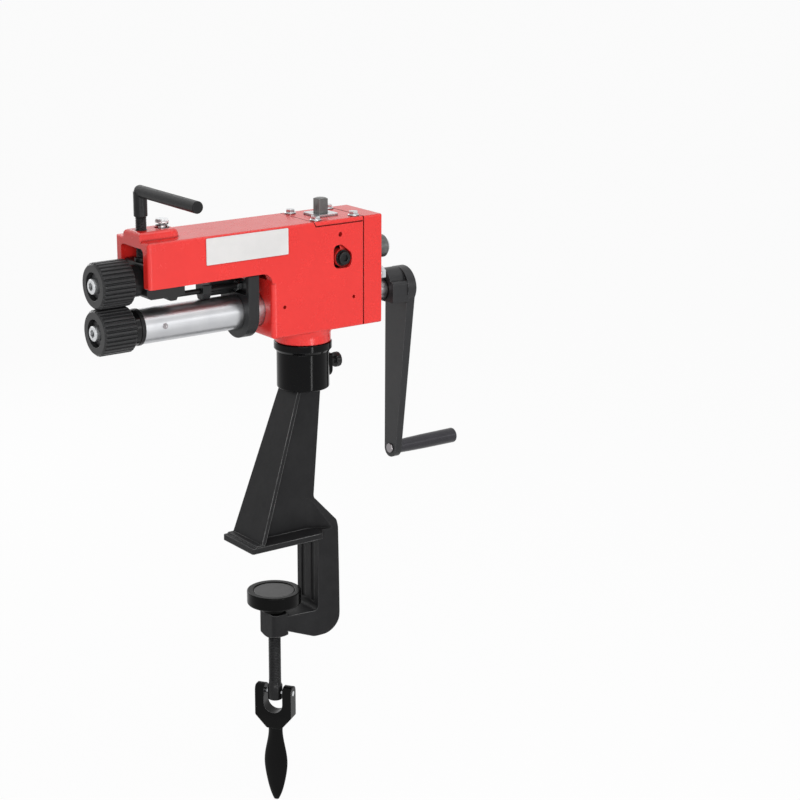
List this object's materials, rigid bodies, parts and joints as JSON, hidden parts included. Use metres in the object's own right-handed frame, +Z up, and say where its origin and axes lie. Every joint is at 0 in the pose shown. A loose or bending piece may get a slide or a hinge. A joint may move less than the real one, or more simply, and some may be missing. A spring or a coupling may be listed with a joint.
{
  "type": "bead roller",
  "caption": "Hand cranked bead roller: geared fluted rollers on a long arm and housing, set by a lever, swivelling on a bench clamp stand with a screw.",
  "frame": {"origin": "where the clamp screw's axis meets the underside of the stand's upper jaw, which rests on the bench top", "axes": "+X along the shafts from the rollers to the crank, +Y to the left of someone facing the rollers' travel along +X, +Z up along the clamp screw"},
  "size_m": [0.4769, 0.1524, 0.746],
  "materials": {
    "head_paint": "coral red enamel on a casting, semi-gloss",
    "stand_paint": "satin black paint on a casting",
    "socket_gloss": "gloss black enamel on turned steel",
    "crank_paint": "satin black paint on a forging",
    "block_black": "matt black cast iron",
    "roller_oxide": "dark grey black-oxide steel, turned and fluted",
    "black_oxide": "black-oxide steel",
    "tube_steel": "polished round tube",
    "shaft_steel": "ground steel",
    "zinc": "bright zinc plate",
    "bronze": "sintered bronze",
    "spring_steel": "oiled spring wire"
  },
  "bodies": {
    "stand": {"stand_casting": "stand_paint", "stand_socket": "socket_gloss", "swivel_ring": "socket_gloss"},
    "head": {"head_casting": "head_paint", "swivel_post": "shaft_steel", "top_lid": "head_paint", "lid_bolts": "zinc", "adjuster_plate": "zinc", "rear_cover": "head_paint", "rear_cover_bolts": "zinc", "square_head_adjuster": "black_oxide", "pivot_bolts": "black_oxide", "housing_set_screws": "black_oxide", "support_tube": "tube_steel", "tube_front_bush": "black_oxide", "lower_rear_bush": "bronze", "gauge_bracket": "block_black", "guide_rod": "black_oxide", "rod_lock_nut": "zinc", "rod_sleeve": "black_oxide", "lift_spring": "spring_steel"},
    "thumb_screw": {"lock_thumb_screw": "black_oxide"},
    "pressure_pad": {"clamp_pad": "stand_paint"},
    "screw": {"clamp_screw": "black_oxide", "handle_pin": "zinc"},
    "fork_handle": {"clamp_handle": "black_oxide"},
    "drive": {"lower_shaft": "shaft_steel", "lower_keys": "shaft_steel", "lower_gear": "shaft_steel", "lower_thrust_collar": "black_oxide", "lower_roller": "roller_oxide", "lower_roller_washer": "black_oxide", "lower_roller_screw": "zinc", "lower_rear_collar": "shaft_steel", "crank_arm": "crank_paint", "crank_set_screw": "black_oxide", "crank_end_screw": "zinc", "grip_axle": "shaft_steel"},
    "grip": {"crank_grip": "roller_oxide"},
    "upper_carrier": {"front_bearing_block": "block_black", "front_bearing_bush": "black_oxide", "rear_bearing_block": "block_black", "rear_bearing_bush": "bronze", "lift_bolt": "zinc"},
    "upper_drive": {"upper_shaft": "shaft_steel", "upper_keys": "shaft_steel", "upper_gear": "shaft_steel", "upper_roller": "roller_oxide", "upper_roller_washer": "black_oxide", "upper_roller_screw": "zinc", "upper_rear_collar": "black_oxide", "upper_end_screw": "zinc"},
    "adjuster_foot": {"thrust_pad": "black_oxide"},
    "adjuster_lever": {"adjusting_screw": "black_oxide", "lever_collar": "black_oxide", "lever_grip": "roller_oxide"},
    "depth_stop": {"stop_block": "block_black"}
  },
  "joints": [
    {"name": "head_swivel", "type": "hinge", "parent": "stand", "child": "head", "pos_m": [0.04235, 0, 0.2272], "axis": [0, 0, 1], "continuous": true},
    {"name": "lock_screw_turn", "type": "hinge", "parent": "stand", "child": "thumb_screw", "pos_m": [0.08, 0, 0.198], "axis": [1, 0, 0], "range_deg": [0, 720]},
    {"name": "clamp_slide", "type": "slide", "parent": "stand", "child": "pressure_pad", "axis": [0, 0, 1], "range_m": [0, 0.045]},
    {"name": "clamp_turn", "type": "hinge", "parent": "pressure_pad", "child": "screw", "pos_m": [0, 0, -0.1], "axis": [0, 0, 1], "range_deg": [0, 8100]},
    {"name": "handle_fold", "type": "hinge", "parent": "screw", "child": "fork_handle", "pos_m": [0, 0, -0.1871], "axis": [0.5736, -0.8192, 0], "range_deg": [-90, 90]},
    {"name": "crank_turn", "type": "hinge", "parent": "head", "child": "drive", "pos_m": [0.1, 0, 0.2716], "axis": [1, 0, 0], "continuous": true},
    {"name": "grip_spin", "type": "hinge", "parent": "drive", "child": "grip", "pos_m": [0.2, 0, 0.0791], "axis": [1, 0, 0], "continuous": true},
    {"name": "upper_tilt", "type": "hinge", "parent": "head", "child": "upper_carrier", "pos_m": [0.0759, 0, 0.3216], "axis": [0, 1, 0], "range_deg": [0, 1.28], "deforming": ["lift_spring"]},
    {"name": "upper_spin", "type": "hinge", "parent": "upper_carrier", "child": "upper_drive", "pos_m": [0, 0, 0.3216], "axis": [1, 0, 0], "continuous": true},
    {"name": "foot_slide", "type": "slide", "parent": "head", "child": "adjuster_foot", "axis": [0, 0, 1], "range_m": [0, 0.00525]},
    {"name": "lever_turn", "type": "hinge", "parent": "adjuster_foot", "child": "adjuster_lever", "pos_m": [-0.159, 0, 0.36], "axis": [0, 0, 1], "range_deg": [0, 1080]},
    {"name": "stop_slide", "type": "slide", "parent": "head", "child": "depth_stop", "axis": [1, 0, 0], "range_m": [-0.025, 0.028]}
  ],
  "couplings": [
    {"joint": "clamp_slide", "follows": "clamp_turn", "m_per_rad": 0.0003183},
    {"joint": "upper_spin", "follows": "crank_turn", "ratio": -1},
    {"joint": "upper_tilt", "follows": "lever_turn", "ratio": 0.0011847},
    {"joint": "foot_slide", "follows": "lever_turn", "m_per_rad": 0.00027847}
  ]
}
